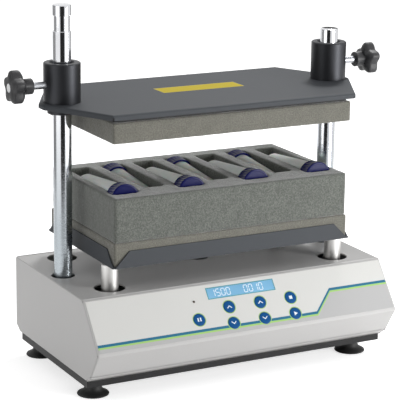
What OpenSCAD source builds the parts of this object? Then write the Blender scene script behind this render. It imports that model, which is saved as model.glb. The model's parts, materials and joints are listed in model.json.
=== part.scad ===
// Multi-tube vortex mixer: an orbiting foam-lined tray under a foam-lined clamp plate.
// Millimetres. Origin on the bench under the drive axis, +X along the housing, front at -Y, +Z up.

/* [Housing] */
// Length of the cover along X
body_l = 370; // [350:1:400]
// Height of the flat top above the bench
body_top = 114; // [108:1:124]
// Front crease of the top, in front of the drive axis
crease_front = 92; // [88:1:98]
// Rear wall, behind the drive axis
rear_wall = 92; // [90:1:100]
// Nose of the sloped panel, in front of the drive axis
nose_out = 131; // [122:1:140]
// Height of the nose
nose_z = 64; // [58:1:70]
// Lower front crease, in front of the drive axis
chin_out = 112; // [106:1:118]
// Height of the lower front crease
chin_z = 34; // [31:1:38]
// Height of the cover's lower edge
skirt_z = 27; // [25:1:29]
// How far the lower edge is turned in
skirt_in = 10; // [8:1:12]
// Height where the rear wall is turned in
rear_turn_z = 33; // [31:1:35]
// Cover sheet thickness
cover_t = 1.5; // [1:0.1:2]
// Bend radius of the cover's creases
bend_r = 3; // [2:0.5:4]
// Clearance hole for a short post
short_hole_d = 34; // [28:1:36]
// Clearance hole for a tall post
tall_hole_d = 26; // [25:1:30]
// Hole over the crank pin
service_hole_d = 24; // [18:1:28]

/* [Base pan] */
// Underside of the pan
pan_z = 18.5; // [17:0.5:20]
// Pan sheet thickness
pan_t = 2; // [1.5:0.1:2.5]
// Top of the pan's upstand
pan_top = 38; // [34:1:42]
// Gap between the pan and the cover's sides
pan_gap = 0.4; // [0.3:0.1:0.8]
// Length of a ventilation slot
vent_l = 44; // [30:1:55]
// Width of a ventilation slot
vent_w = 4; // [3:0.5:5]
// Width of a rear fixing tab
tab_w = 20; // [16:1:26]

/* [Feet] */
// Brim diameter of a foot
foot_d = 35; // [28:1:38]
// From a foot's axis to the end of the housing
foot_edge = 22; // [20:0.5:34]
// From a front foot's axis to the lower front crease
foot_front = 41.5; // [36:0.5:48]
// Foot stud diameter
foot_stud_d = 6; // [5:1:8]
// Across flats of the foot nuts
foot_nut_af = 10; // [9:0.5:13]
// Thickness of a foot nut
foot_nut_t = 5; // [3:0.5:5]

/* [Orbit drive] */
// Radius of the orbit
orbit_r = 1.8; // [1:0.1:2.2]
// Main shaft and crank pin diameter
shaft_d = 12; // [10:1:14]
// Main bearing outer diameter
bearing_od = 28; // [26:1:32]
// Idler pin diameter
idler_d = 10; // [8:1:12]
// Idler bearing outer diameter
idler_bearing_od = 26; // [24:1:28]
// Rest position of the crank pins round their shafts, from +X
rest_turn = 60; // [0:5:355]
// From an idler's axis to the end of the deck
idler_edge = 35; // [30:1:42]
// Running clearance of a pin in its bearing
run_gap = 0.05; // [0.02:0.01:0.09]
// Seat clearance between fixed pieces
seat_gap = 0.05; // [0.02:0.01:0.1]
// Face clearance between turning pieces
face_gap = 0.3; // [0.2:0.1:0.5]
// Deck underside height
deck_z = 50; // [48:0.5:52]
// Deck thickness, also the bearing width
deck_t = 8; // [7:0.5:9]
// Bay for a board beside the deck, to the end of the housing
board_bay = 55; // [50:1:60]
// Deck width
deck_w = 120; // [112:2:124]
// Deck pillar diameter
pillar_d = 16; // [12:1:18]
// Crank web thickness
web_t = 6; // [4:0.5:7]
// Counterweight radius
weight_r = 60; // [45:1:66]
// Counterweight angle
weight_angle = 150; // [90:5:180]
// Motor body diameter
motor_d = 90; // [70:1:96]
// Motor flange diameter
motor_flange_d = 104; // [100:1:110]
// Motor height below the deck
motor_h = 26; // [20:1:27]
// Gap between the crank webs and the drive plate
web_gap = 4; // [3:0.5:6]
// Drive plate thickness, also the bearing width
plate_t = 8; // [7:0.5:9]
// Drive plate beyond a tall post's axis
plate_end = 12; // [10:0.5:14]
// Drive plate beyond a short post's axis
plate_side = 15; // [12:0.5:17]

/* [Posts] */
// Short post diameter
short_d = 19; // [16:0.5:22]
// From a short post's axis to the tray's end
short_end = 7; // [6.5:0.5:12]
// From a short post's axis to the tray's long side
short_side = 24; // [20:0.5:29]
// Tall post diameter
tall_d = 20; // [18:0.5:20]
// From a tall post's axis to the end of the housing
tall_edge = 18.5; // [18:0.5:21]
// Top of the left tall post
left_top = 411.5; // [400:0.5:425]
// Top of the right tall post
right_top = 365; // [356:0.5:368]
// Parking neck diameter of the left post
neck_d = 17.4; // [15:0.1:18]
// Parking neck length
neck_l = 18; // [12:0.5:22]
// Head length above the neck
head_l = 12.5; // [8:0.5:16]
// Post screw diameter
post_screw_d = 8; // [6:1:8]
// Tray screw diameter
tray_screw_d = 6; // [5:1:6]

/* [Tray and foams] */
// Tray above the housing
tray_lift = 26.5; // [20:0.5:34]
// Gap between the tray and a tall post
tray_gap = 9.5; // [6:0.5:12]
// Tray floor width
tray_w = 174; // [166:1:178]
// Tray sheet thickness
tray_t = 1.5; // [1:0.1:2]
// Flange height
flange_h = 18; // [12:1:22]
// Lean of the flanges towards the foam
flange_lean = 4; // [0:0.5:6]
// Relief between two flanges at a corner
corner_relief = 2; // [1:0.5:4]
// Base pad thickness
pad_t = 25; // [20:1:30]
// Tube insert thickness
insert_t = 48; // [44:1:52]
// Ledge of the base pad round the insert
pad_ledge = 1; // [0:0.5:3]
// Foam-to-foam face clearance
foam_gap = 0.2; // [0.1:0.1:0.4]
// Slot width in the insert
slot_w = 24; // [20:1:27]
// Slot depth
slot_d = 28; // [24:1:32]
// Slot pitch along X
slot_pitch = 40; // [38:0.5:40]
// Foam left at the end of a slot, to the tray's long side
slot_end = 24; // [17:0.5:27]
// Foam left over the cone ends of the tubes whose caps are at the rear
slot_cover = 16; // [0:1:18]

/* [Tubes] */
// Tube diameter
tube_d = 28.5; // [26:0.5:29.5]
// Tube length from the cap's face
tube_l = 115; // [100:1:118]
// Length of the conical end
cone_l = 15; // [10:1:20]
// Tube wall
tube_wall = 1.2; // [0.8:0.1:1.6]
// Cap diameter
cap_d = 33; // [31:0.5:34.5]
// Cap length
cap_l = 16; // [12:0.5:20]
// Tilt of a tube, cap end up
tube_tilt = 5; // [0:0.5:7]
// Axis of a front cap's face below the insert's top
front_drop = 7; // [0:0.5:8]
// Axis of a rear cap's face below the insert's top
rear_drop = 13; // [6:0.5:14]
// Ribs round a cap
cap_ribs = 30; // [18:2:40]
// Foam clearance round a tube
tube_gap = 0.3; // [0.2:0.1:0.5]

/* [Clamp plate] */
// Opening between the insert and the upper foam
clamp_open = 59.4; // [40:0.1:62]
// Clamp sheet thickness
clamp_t = 2; // [1.5:0.1:3]
// Lip height with the sheet
lip_h = 6; // [4:0.5:9]
// Lip sheet thickness
lip_t = 2; // [1.5:0.1:3]
// Plate beyond the tray at each end of its long edges
clamp_end = 1; // [-8:0.5:6]
// Plate beyond the tray's long sides
clamp_side = 2; // [-2:0.5:6]
// Plate beyond a tall post's axis
tip_end = 24.5; // [23:0.5:30]
// Outer bend radius of the clamp sheet, equal to the sheet or more
clamp_bend = 3; // [2:0.5:5]
// Width of the blunt tips
tip_w = 14; // [8:1:24]
// Slit width in the lip at a bend
slit_w = 1.6; // [1:0.1:3]
// Margin of the upper foam round the backing board
board_edge = 14; // [5:0.5:22]
// Backing board thickness
board_t = 6; // [4:0.5:8]
// Upper foam thickness
top_pad_t = 24; // [18:1:30]
// Upper foam inside the end of the plate's long edges
top_pad_end = 3; // [1:0.5:12]

/* [Collars and knobs] */
// Collar diameter
collar_d = 40; // [36:0.5:42]
// Collar height above the plate
collar_h = 43; // [36:0.5:48]
// Liner wall
liner_t = 2; // [1.5:0.1:2.5]
// Sliding clearance on a tall post
slide_gap = 0.08; // [0.05:0.01:0.1]
// Spigot diameter through the plate
spigot_d = 27; // [26:0.5:29]
// Ring nut diameter
ring_nut_d = 32; // [30:0.5:34]
// Ring nut height
ring_nut_h = 10; // [6:0.5:14]
// Clamp screw diameter
screw_d = 8; // [6:1:8]
// Clamp screw height above the plate
screw_up = 19.5; // [16:0.5:24]
// Where a knob starts, from the post axis
knob_start = 35; // [32:0.5:38]
// Knob hub diameter
hub_d = 17; // [14:0.5:20]
// Knob hub length
hub_l = 10; // [6:0.5:12]
// Star diameter
star_d = 37; // [32:0.5:42]
// Star thickness
star_t = 16; // [10:0.5:18]
// Star lobes
lobe_n = 5; // [5:1:6]
// Metal insert diameter on the knob's face
insert_d = 10; // [9:0.5:12]

/* [Panel] */
// Film thickness of the overlay
film_t = 0.4; // [0.3:0.1:0.6]
// Film margin at the panel's edges
film_margin = 2.5; // [2:0.5:4]
// Key diameter
key_d = 13.8; // [12:0.2:15]
// Key height above the sheet
key_proud = 0.9; // [0.7:0.1:1.2]
// Key travel
key_travel = 0.5; // [0.3:0.1:0.5]
// Clearance round a key
key_gap = 0.25; // [0.2:0.05:0.4]
// Speed keys along X
speed_x = -20; // [-24:1:-18]
// Time keys along X
time_x = 18.5; // [16:0.5:22]
// Run keys along X
run_x = 57; // [52:1:60]
// Mode key along X
mode_x = -59.5; // [-66:0.5:-52]
// Upper key row, down the slope
upper_row = 31; // [29:0.5:32]
// Lower key row, down the slope
lower_row = 50; // [49:0.5:52]
// Mode key, down the slope
mode_row = 40.5; // [36:0.5:44]
// Window width
window_w = 82; // [70:1:90]
// Window height
window_h = 11.5; // [10:0.5:14]
// Window centre, down the slope
window_row = 13; // [12:0.5:14]
// Lamp down the slope
lamp_row = 19.6; // [16:0.2:22]
// Lamp diameter
lamp_d = 2.6; // [2:0.1:3.4]
// Control board length
pcb_l = 156; // [150:1:170]
// Board thickness
pcb_t = 1.6; // [1:0.1:2]
// Depth of the control board behind the panel
pcb_deep = 11; // [10.5:0.5:12]

/* [Rear] */
// From the inlet's centre to the end of the housing
inlet_edge = 55; // [51:1:65]
// Inlet body width
inlet_w = 28; // [27:0.5:30]
// Height of the inlet and fuse drawer body
inlet_h = 28; // [27:0.5:29]
// Inlet depth
inlet_deep = 22; // [18:1:24]
// From the inlet's centre to the switch's centre
switch_step = 38; // [32:1:42]
// Switch body width
switch_w = 22; // [18:0.5:26]
// Switch body height
switch_h = 14; // [12:0.5:18]
// Inner length of the fuse drawer
drawer_l = 18.5; // [16:0.5:18.5]
// Centre height of the rear fittings
rear_fit_z = 52; // [51.5:0.5:53]
// Bezel thickness and margin
bezel = 2; // [1.5:0.1:3]

/* [Hidden] */
$fn = 64;
cut = 1;           // how far a cutter runs past a face
both = [-1, 1];
inner_x = body_l / 2 - cover_t;
foot_x = body_l / 2 - foot_edge;
foot_y = chin_out - foot_front;
tall_x = body_l / 2 - tall_edge;
tall_r = tall_d / 2;
tray_l = 2 * (tall_x - tall_r - tray_gap);
short_x = tray_l / 2 - short_end;
short_y = tray_w / 2 - short_side;
plate_l = 2 * (tall_x + plate_end);
plate_w = 2 * (short_y + plate_side);
deck_l = body_l - 2 * board_bay;
idler_x = deck_l / 2 - idler_edge;
inlet_x = inlet_edge - body_l / 2;
switch_x = inlet_x + switch_step;
slope_len = norm([nose_out - crease_front, body_top - nose_z]);
slope_tilt = atan2(body_top - nose_z, nose_out - crease_front);
pan_front = chin_out - skirt_in - 3;
pan_rear = rear_wall - skirt_in - 3;
pan_floor = pan_z + pan_t;
foot_top = pan_z - foot_nut_t - 0.1;
deck_top = deck_z + deck_t;
motor_z = deck_z - motor_h;
web_z = deck_top + 2;
web_top = web_z + web_t;
plate_z = web_top + web_gap;
tray_z = body_top + tray_lift;
plate_top = plate_z + plate_t;
tray_top = tray_z + tray_t;
pad_z = tray_top + foam_gap;
insert_z = pad_z + pad_t + foam_gap;
insert_top = insert_z + insert_t;
clamp_z = insert_top + clamp_open + top_pad_t + foam_gap + board_t + clamp_t;
clamp_l = tray_l + 2 * clamp_end;
clamp_w = tray_w + 2 * clamp_side;
clamp_tip_l = 2 * (tall_x + tip_end);
board_z = clamp_z - clamp_t - board_t;
top_pad_z = board_z - foam_gap - top_pad_t;
top_pad_l = clamp_l - 2 * top_pad_end;
liner_in = tall_r + slide_gap;
liner_out = liner_in + liner_t;
collar_bore = liner_out + seat_gap;
screw_z = clamp_z + screw_up;
screw_bore = screw_d / 2 + run_gap;
tip_l = screw_d - 2.5;
knob_l = hub_l + star_t;
pillar_x = deck_l / 2 - pillar_d / 2 - 4;
pillar_y = deck_w / 2 - pillar_d / 2 - 4;
pillar_screw_d = foot_stud_d;
motor_screw_d = foot_stud_d - 1;
motor_pcd = motor_flange_d - 9;
crank_web_d = 2 * shaft_d;
idler_web_d = 2.2 * idler_d;
key_flange = 1.1;
key_stem_deep = 6.3;
stud_d = 2 * cover_t;
stud_x = pcb_l / 2 - 6;
stud_rows = [6, 54];
boss_h = 2 * pan_t;
tabs_x = [-inner_x + tab_w / 2 + 4, 20, inner_x - tab_w / 2 - 4];
tab_top = 58;
tab_screw_z = 51;
tab_screw_d = 2 * pan_t;
tab_screw_l = 2 * tab_screw_d;
post_head_d = post_screw_d + 6;
post_head_h = 0.4 * post_screw_d;
tray_head_d = tray_screw_d + 4;
// Boards beside the drive deck
driver_x = (pillar_x + pillar_d / 2 + inner_x) / 2;
driver_w = 0.8 * board_bay;
driver_l = deck_w - 8;
driver_z = pan_floor + boss_h;
tall_part = deck_z - pan_floor;
// Foams, filled out to the leaning flanges, and where a tube's cap starts in its slot
flange_rise = flange_h * tan(flange_lean);
flange_wall = tray_t / cos(flange_lean);
flange_run = flange_rise + flange_wall;
foam_l = tray_l - 2 * flange_run - 2 * foam_gap;
foam_w = tray_w - 2 * flange_run - 2 * foam_gap;
insert_l = foam_l - 2 * pad_ledge;
insert_w = foam_w - 2 * pad_ledge;
slot_l = tray_w - 2 * slot_end;
slot_n = floor(insert_l / slot_pitch);
face_y = -slot_l / 2 + 2;
// Rear fittings
drawer_w = 22;
drawer_h = 8;
drawer_z = -inlet_h / 2 + 1.5;
rocker_w = switch_w - 3.8;
rocker_tilt = 9;
nut_z = clamp_z - clamp_t - ring_nut_h;
clamp_corner = clamp_bend + 2;
// Each pair of opposite sides of the plate: the turn of its normal from +X, and its half width
side_turn = atan2(clamp_tip_l - clamp_l, clamp_w - tip_w);
side_half = clamp_l / 2 * cos(side_turn) + clamp_w / 2 * sin(side_turn);
clamp_sides = [[0, clamp_tip_l / 2], [90, clamp_w / 2], [side_turn, side_half], [-side_turn, side_half]];

// Outline of the clamp plate, a long hexagon with blunt tips
clamp_outline = [[clamp_l / 2, clamp_w / 2], [-clamp_l / 2, clamp_w / 2], [-clamp_tip_l / 2, tip_w / 2],
                 [-clamp_tip_l / 2, -tip_w / 2], [-clamp_l / 2, -clamp_w / 2], [clamp_l / 2, -clamp_w / 2],
                 [clamp_tip_l / 2, -tip_w / 2], [clamp_tip_l / 2, tip_w / 2]];
// Side profile of the cover, front at negative y, from the rear top round to the rear foot
outer_profile = [[rear_wall, body_top], [-crease_front, body_top], [-nose_out, nose_z], [-chin_out, chin_z],
                 [-chin_out + skirt_in, skirt_z], [rear_wall - skirt_in, skirt_z],
                 [rear_wall, rear_turn_z]];

function unit(v) = v / norm(v);
function inward(a, b) = [a.y - b.y, b.x - a.x] / norm(b - a);
function meet(p, u, q, v) = p + u * cross(q - p, v) / cross(u, v);
function wrap(i, n) = (i + n) % n;
// Convex outline, counter-clockwise, moved inward by t
function inset(pts, t) = [for (i = [0 : len(pts) - 1])
    let (a = pts[wrap(i - 1, len(pts))], b = pts[i], c = pts[wrap(i + 1, len(pts))])
    meet(a + t * inward(a, b), b - a, b + t * inward(b, c), c - b)];
// Section of a slab, its two upper corners rounded
function arched(half, r, z0, z1) = concat([[-half, z0], [half, z0]],
    [for (a = [0 : 22.5 : 90]) [half - r + r * cos(a), z1 - r + r * sin(a)]],
    [for (a = [90 : 22.5 : 180]) [r - half + r * cos(a), z1 - r + r * sin(a)]]);
// The same outline with each corner rounded to radius r
function rounded(pts, r, steps = 4) = [for (i = [0 : len(pts) - 1])
    let (a = pts[wrap(i - 1, len(pts))], b = pts[i], c = pts[wrap(i + 1, len(pts))],
         u = unit(a - b), v = unit(c - b), half = acos(u * v) / 2,
         o = b + unit(u + v) * r / sin(half), from = b + u * r / tan(half), to = b + v * r / tan(half),
         a0 = atan2(from.y - o.y, from.x - o.x), turn = 180 - 2 * half)
    for (k = [0 : steps]) o + r * [cos(a0 + turn * k / steps), sin(a0 + turn * k / steps)]];

module along_x(length) rotate([90, 0, 90]) linear_extrude(length, center = true) children();
module on_panel(x, row, h = 0)
    translate([0, -crease_front, body_top]) rotate([slope_tilt, 0, 0]) translate([x, -row, h]) children();
module on_carrier() translate(orbit_r * [cos(rest_turn), sin(rest_turn), 0]) children();
module rod(d, z0, z1) translate([0, 0, z0]) cylinder(d = d, h = z1 - z0);
module ring(d_out, d_in, z0, z1) difference() {
    rod(d_out, z0, z1);
    rod(d_in, z0 - cut, z1 + cut);
}
module block(size, z0) translate([-size.x / 2, -size.y / 2, z0]) cube(size);
module four(x, y) for (sx = both, sy = both) translate([sx * x, sy * y, 0]) children();
module hex(af, z0, z1) translate([0, 0, z0]) cylinder(d = af / cos(30), h = z1 - z0, $fn = 6);
module rounded_plate(l, w, r, z0, t) translate([0, 0, z0]) linear_extrude(t)
    polygon(rounded([[l / 2, w / 2], [-l / 2, w / 2], [-l / 2, -w / 2], [l / 2, -w / 2]], r));

// ---- Housing ----
module key_places() {
    on_panel(mode_x, mode_row) children();
    for (x = [speed_x, time_x, run_x], row = [upper_row, lower_row]) on_panel(x, row) children();
}
module cover() color("#c4c4c2") {
    difference() {
        along_x(body_l) polygon(rounded(outer_profile, bend_r));
        along_x(2 * inner_x) polygon(rounded(inset(outer_profile, cover_t), bend_r - cover_t));
        translate([-inner_x, -pan_front - 0.6, skirt_z - cut])
            cube([2 * inner_x, pan_front + pan_rear + 1.2, cover_t + 2 * cut]);
        top_holes();
        key_places() rod(key_d + 2 * key_gap, -2 * cover_t, cut);
        on_panel(mode_x, lamp_row) rod(lamp_d + 0.2, -2 * cover_t, cut);
        on_panel(0, window_row) block([window_w + 0.3, window_h + 0.3, 3 * cover_t], -2 * cover_t);
        rear_cut(inlet_x, inlet_w, inlet_h);
        rear_cut(switch_x, switch_w, switch_h);
        at_tabs() rod(tab_screw_d + 2 * seat_gap, -cut, 2 * cover_t);
    }
    for (sx = both, row = stud_rows) on_panel(sx * stud_x, row)
        rod(stud_d, -pcb_deep - pcb_t - 3.5, -cover_t / 2);
}
module top_holes() translate([0, 0, body_top - 2 * cover_t]) {
    four(short_x, short_y) cylinder(d = short_hole_d, h = 3 * cover_t);
    for (sx = both) translate([sx * tall_x, 0, 0]) cylinder(d = tall_hole_d, h = 3 * cover_t);
    cylinder(d = service_hole_d, h = 3 * cover_t);
}
module rear_cut(x, w, h) translate([x - w / 2 - 0.2, rear_wall - 2 * cover_t, rear_fit_z - h / 2 - 0.2])
    cube([w + 0.4, 3 * cover_t, h + 0.4]);

module base_pan() color("#2e2e2e") {
    half = inner_x - pan_gap;
    difference() {
        union() {
            difference() {
                translate([-half, -pan_front, pan_z]) cube([2 * half, pan_front + pan_rear, pan_top - pan_z]);
                translate([-half + pan_t, -pan_front + pan_t, pan_floor])
                    cube([2 * (half - pan_t), pan_front + pan_rear - 2 * pan_t, pan_top]);
            }
            for (x = tabs_x) translate([x - tab_w / 2, 0, 0]) {
                translate([0, pan_rear - pan_t, pan_top - pan_t])
                    cube([tab_w, rear_wall - cover_t - seat_gap - pan_rear + pan_t, pan_t]);
                translate([0, rear_wall - cover_t - seat_gap - pan_t, pan_top - pan_t])
                    cube([tab_w, pan_t, tab_top - pan_top + pan_t]);
            }
            board_posts() rod(7, pan_floor - pan_t / 2, pan_floor + boss_h);
        }
        four(foot_x, foot_y) rod(foot_stud_d + 2 * seat_gap, pan_z - cut, pan_floor + cut);
        four(pillar_x, pillar_y) rod(pillar_screw_d + 2 * seat_gap, pan_z - cut, pan_floor + cut);
        for (sx = both, k = [-3 : 3]) translate([sx * vent_l * 0.8 - vent_l / 2, k * 3 * vent_w, pan_z - cut])
            cube([vent_l, vent_w, pan_t + 2 * cut]);
        at_tabs() rod(tab_screw_d + 2 * seat_gap, -cut, cover_t + pan_t + cut);
    }
}
module at_tabs() for (x = tabs_x) translate([x, rear_wall, tab_screw_z]) rotate([90, 0, 0]) children();
module cover_screws() color("silver") at_tabs() {
    rod(tab_screw_d, -seat_gap, tab_screw_l);
    intersection() {
        rod(1.9 * tab_screw_d, -2.6, -seat_gap);
        translate([0, 0, 2.4]) sphere(d = 10);
    }
}
module feet() color("#1c1c1c") four(foot_x, foot_y) rotate_extrude() polygon([
    [0, 0], [foot_d / 2, 0], [foot_d / 2, 1.2], [foot_d / 2 - 1.5, 2.4], [foot_d * 0.34, 4.6],
    [foot_d * 0.26, 8], [foot_d * 0.25, foot_top], [foot_stud_d / 2 + seat_gap, foot_top],
    [foot_stud_d / 2 + seat_gap, 4], [0, 4]]);
module foot_studs() color("silver") four(foot_x, foot_y) {
    rod(foot_stud_d, 4.2, pan_floor + foot_nut_t + 2);
    difference() {
        union() {
            hex(foot_nut_af, pan_z - foot_nut_t, pan_z - seat_gap);
            hex(foot_nut_af, pan_floor + seat_gap, pan_floor + foot_nut_t);
        }
        rod(foot_stud_d + 2 * seat_gap, 0, body_top);
    }
}

// ---- Panel ----
module panel_overlay() color("#d6d6d4") difference() {
    on_panel(0, slope_len / 2)
        block([body_l - 2 * film_margin, slope_len - 2 * film_margin, film_t - seat_gap], seat_gap);
    key_places() rod(key_d + 2 * key_gap, -cut, cut);
    on_panel(mode_x, lamp_row) rod(lamp_d + 0.2, -cut, cut);
    on_panel(0, window_row) block([window_w + 0.3, window_h + 0.3, 2 * cut], -cut);
}
module display_window() color("#8fc8f0", 0.6)
    on_panel(0, window_row) block([window_w, window_h, film_t + cover_t + 0.2], -cover_t - 0.2);
module display_module() color("#4e86c8") difference() {
    on_panel(0, window_row) union() {
        block([window_w + 8, window_h + 7, pcb_deep - cover_t - 3], -pcb_deep + 0.1);
        block([window_w - 2, window_h, 2.2], -cover_t - 2.6);
    }
    key_places() rod(key_d + 6, -pcb_deep - cut, cut);
}
module status_led() color("#4a2c14") on_panel(mode_x, lamp_row) {
    rod(lamp_d, -pcb_deep + 0.1, film_t);
    intersection() {
        rod(lamp_d, film_t, film_t + lamp_d / 2);
        translate([0, 0, film_t]) sphere(d = lamp_d);
    }
}
module key(x, row) color("#0f5c94") on_panel(x, row) {
    rotate_extrude() polygon([[0, key_proud], [key_d / 2 - 0.5, key_proud], [key_d / 2, key_proud - 0.4],
        [key_d / 2, -cover_t - 0.3], [key_d / 2 + 1.2, -cover_t - 0.3],
        [key_d / 2 + 1.2, -cover_t - 0.3 - key_flange], [2, -cover_t - 0.3 - key_flange],
        [2, -key_stem_deep], [0, -key_stem_deep]]);
}
module key_mode() key(mode_x, mode_row);
module key_speed_up() key(speed_x, upper_row);
module key_speed_down() key(speed_x, lower_row);
module key_time_up() key(time_x, upper_row);
module key_time_down() key(time_x, lower_row);
module key_stop() key(run_x, upper_row);
module key_start() key(run_x, lower_row);
module control_board() color("#2f6b3a") {
    difference() {
        on_panel(0, slope_len / 2 - 1.5) block([pcb_l, slope_len - 8, pcb_t], -pcb_deep - pcb_t);
        for (sx = both, row = stud_rows) on_panel(sx * stud_x, row)
            rod(stud_d + 2 * seat_gap, -pcb_deep - 2 * pcb_t, -pcb_deep + cut);
    }
    key_places() {
        block([6.2, 6.2, 3.4], -pcb_deep + seat_gap);
        rod(3.4, -pcb_deep + 3.4 + seat_gap, -key_stem_deep - key_travel - 0.1);
    }
}
module board_nuts() color("silver") for (sx = both, row = stud_rows) on_panel(sx * stud_x, row) difference() {
    hex(5.5, -pcb_deep - pcb_t - 2.4, -pcb_deep - pcb_t - seat_gap);
    rod(stud_d + 2 * seat_gap, -pcb_deep - pcb_t - 3, -pcb_deep);
}

// ---- Rear fittings ----
module at_rear(x) translate([x, rear_wall, rear_fit_z]) children();
module mains_inlet() color("#222222") at_rear(inlet_x) difference() {
    union() {
        translate([-inlet_w / 2, -inlet_deep, -inlet_h / 2]) cube([inlet_w, inlet_deep + bezel, inlet_h]);
        translate([-inlet_w / 2 - bezel, seat_gap, -inlet_h / 2 - bezel])
            cube([inlet_w + 2 * bezel, bezel, inlet_h + 2 * bezel]);
    }
    difference() {
        translate([-12, -15, -inlet_h / 2 + drawer_h + 3]) cube([24, 15 + bezel + cut, 15.5]);
        for (dx = [-7, 7]) translate([dx - 1, -16, -inlet_h / 2 + drawer_h + 7]) cube([2, 14, 4]);
        translate([-1, -16, -inlet_h / 2 + drawer_h + 11]) cube([2, 14, 4]);
    }
    translate([-drawer_w / 2 - 0.3, -drawer_l - 0.5, drawer_z - 0.3])
        cube([drawer_w + 0.6, drawer_l + 0.5 + bezel + cut, drawer_h - 0.4]);
}
module fuse_drawer() color("#3a3a3a") at_rear(inlet_x) difference() {
    union() {
        translate([-drawer_w / 2, -drawer_l, drawer_z]) cube([drawer_w, drawer_l + bezel, drawer_h - 1]);
        translate([-8, bezel, drawer_z + 1]) cube([16, 1.2, 4.5]);
    }
    translate([-drawer_w / 2 + 1, 1.5 - drawer_l, drawer_z + 2]) cube([drawer_w - 2, 7, drawer_h]);
}
module switch_housing() color("#222222") at_rear(switch_x) difference() {
    union() {
        translate([-switch_w / 2, -16, -switch_h / 2]) cube([switch_w, 16 + bezel, switch_h]);
        translate([-switch_w / 2 - bezel, seat_gap, -switch_h / 2 - bezel])
            cube([switch_w + 2 * bezel, bezel, switch_h + 2 * bezel]);
    }
    translate([-switch_w / 2 + 1.5, -10, -switch_h / 2 + 1.5])
        cube([switch_w - 3, 10 + bezel + cut, switch_h - 3]);
}
module rocker() color("#1c1c1c") at_rear(switch_x) translate([0, -0.5, 0]) rotate([0, 0, rocker_tilt])
    linear_extrude(switch_h - 3.8, center = true)
        polygon([[-rocker_w / 2, 2.6], [-rocker_w * 0.4, -3], [rocker_w * 0.4, -3], [rocker_w / 2, 2.6],
                 [0, 1]]);

// ---- Internal drive ----
module board_posts() four(driver_x, 0) for (dx = both, sy = both)
    translate([dx * (driver_w / 2 - 5), sy * (driver_l / 2 - 5), 0]) children();
module bolt(d, head_d, head_h, under, tip) {
    rod(d, min(under, tip), max(under, tip));
    rod(head_d, min(under, under + head_h), max(under, under + head_h));
}
module motor_places() for (a = [45 : 90 : 315]) rotate(a) translate([motor_pcd / 2, 0, 0]) children();
module idler_places() for (sx = both) translate([sx * idler_x, 0, 0]) children();
module drive_deck() color("#8d9196") difference() {
    rounded_plate(deck_l, deck_w, 8, deck_z, deck_t);
    rod(bearing_od + 2 * seat_gap, deck_z - cut, deck_top + cut);
    idler_places() rod(idler_bearing_od + 2 * seat_gap, deck_z - cut, deck_top + cut);
    four(pillar_x, pillar_y) rod(pillar_screw_d + 2 * seat_gap, deck_z - cut, deck_top + cut);
    four(72, 38) rod(22, deck_z - cut, deck_top + cut);
    motor_places() {
        rod(motor_screw_d + 2 * seat_gap, deck_z - cut, deck_top + cut);
        rod(2 * motor_screw_d, deck_top - motor_screw_d, deck_top + cut);
    }
}
module deck_pillars() color("silver") four(pillar_x, pillar_y) difference() {
    rod(pillar_d, pan_floor + seat_gap, deck_z - seat_gap);
    rod(pillar_screw_d + 2 * seat_gap, pan_floor - cut, pan_floor + 13);
    rod(pillar_screw_d + 2 * seat_gap, deck_z - 13, deck_z + cut);
}
module deck_screws() color("silver") {
    four(pillar_x, pillar_y) {
        bolt(pillar_screw_d, 10, -3.4, pan_z - seat_gap, pan_floor + 12);
        bolt(pillar_screw_d, 10, 3.4, deck_top + seat_gap, deck_z - 12);
    }
    motor_places() bolt(motor_screw_d, 9, 4, deck_top - motor_screw_d + seat_gap, deck_z - 4.5);
}
module drive_motor() color("#55585c") difference() {
    rotate_extrude() polygon([
        [shaft_d / 2 + face_gap, deck_z - seat_gap], [motor_flange_d / 2, deck_z - seat_gap],
        [motor_flange_d / 2, deck_z - 5], [motor_d / 2, deck_z - 5], [motor_d / 2, motor_z + 2],
        [motor_d / 2 - 2, motor_z], [0, motor_z], [0, motor_z + 2], [shaft_d / 2 + face_gap, motor_z + 2]]);
    for (k = [0 : 2]) ring(motor_d + 2, motor_d - 4, motor_z + 4 + 5 * k, motor_z + 6.5 + 5 * k);
    motor_places() rod(motor_screw_d + 2 * seat_gap, deck_z - 5 - cut, deck_z + cut);
}
module deck_bearings() color("#b9bcc0") {
    bearing(bearing_od, shaft_d, deck_z);
    idler_places() bearing(idler_bearing_od, idler_d, deck_z);
}
module carrier_bearings() color("#b9bcc0") on_carrier() {
    bearing(bearing_od, shaft_d, plate_z);
    idler_places() bearing(idler_bearing_od, idler_d, plate_z);
}
// Shielded ball bearing as one ring, its shields set back between the races
module bearing(d_out, d_in, z0) difference() {
    ring(d_out, d_in + 2 * run_gap, z0, z0 + deck_t);
    for (z = [z0 - cut, z0 + deck_t - 0.5]) ring(d_out - 5, d_in + 5, z, z + cut + 0.5);
}
module crank(pin_d, web_d, low) rotate(rest_turn) {
    rod(pin_d, low, web_z);
    rod(pin_d + 6, deck_top + face_gap, web_z);
    rod(web_d, web_z, web_top);
    translate([orbit_r, 0, 0]) {
        rod(pin_d + 5, web_top, plate_z - face_gap);
        rod(pin_d, web_top, plate_top + 1);
        rod(pin_d - 3, web_top, plate_top + 3);
    }
}
module crank_shaft() color("silver") crank(shaft_d, crank_web_d, motor_z + 4);
module idler_crank(sx) translate([sx * idler_x, 0, 0]) crank(idler_d, idler_web_d, deck_z + 0.5);
module idler_crank_left() color("silver") idler_crank(-1);
module idler_crank_right() color("silver") idler_crank(1);
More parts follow.
